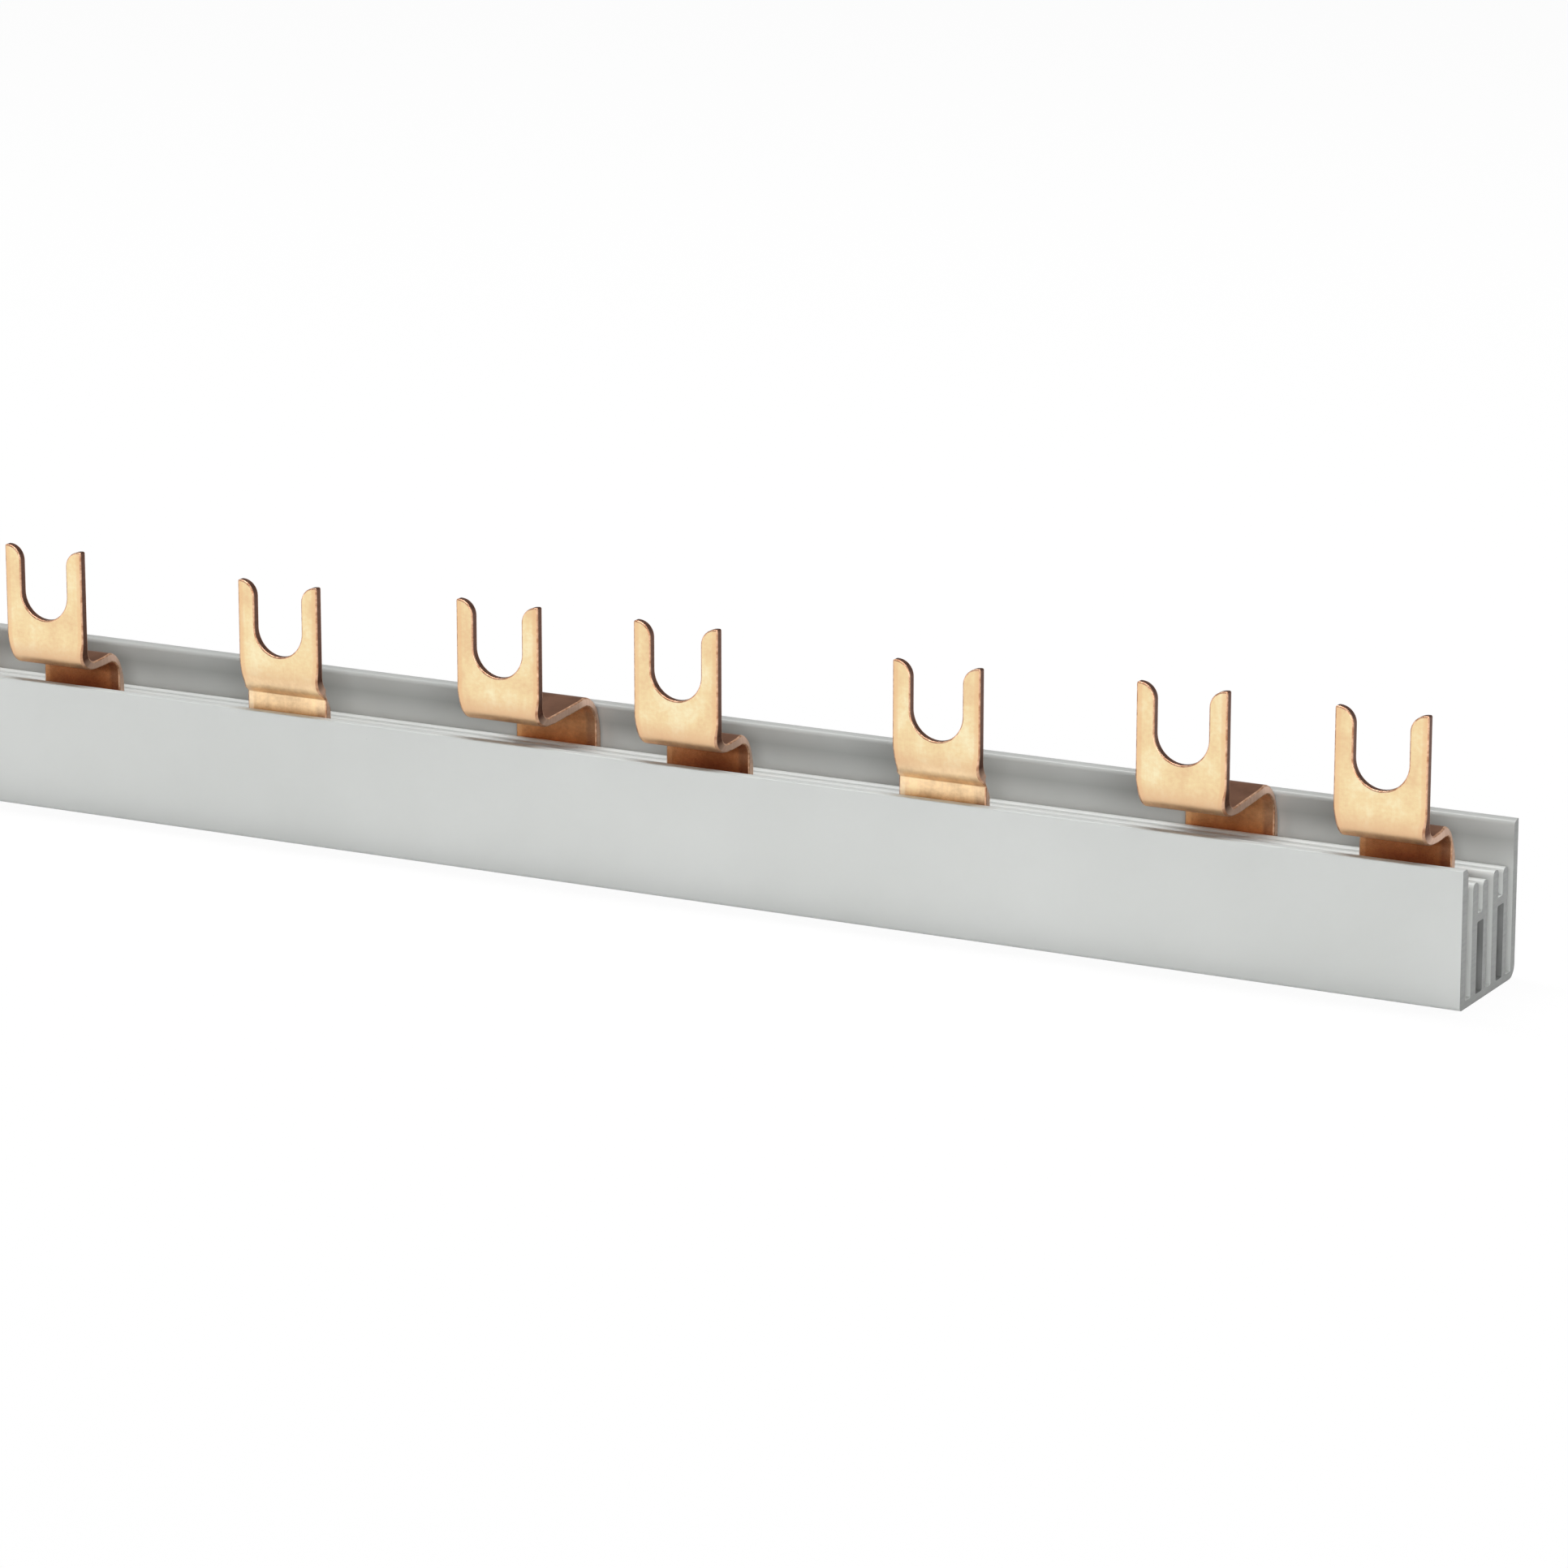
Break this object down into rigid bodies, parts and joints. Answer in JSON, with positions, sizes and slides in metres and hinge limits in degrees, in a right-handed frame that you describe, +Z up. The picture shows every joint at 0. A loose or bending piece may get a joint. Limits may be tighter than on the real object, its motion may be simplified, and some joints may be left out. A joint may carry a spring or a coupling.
{
  "type": "comb busbar",
  "caption": "Three-phase comb busbar: bent copper fork terminals rise in one row from the slots of a grey extruded insulating profile.",
  "frame": {"origin": "middle of the underside of the insulating profile, which is the bottom centre of the whole part", "axes": "+X along the bar to the end that the picture shows, +Y to the tall back wall, +Z up towards the tips of the forks"},
  "size_m": [0.243, 0.0148, 0.0302],
  "materials": {
    "profile_plastic": "satin extruded PVC, light neutral grey",
    "copper": "satin rolled copper with faint mottling and darker punched edges"
  },
  "bodies": {
    "root": {"insulating_profile": "profile_plastic", "front_comb": "copper", "middle_comb": "copper", "rear_comb": "copper"}
  },
  "joints": []
}
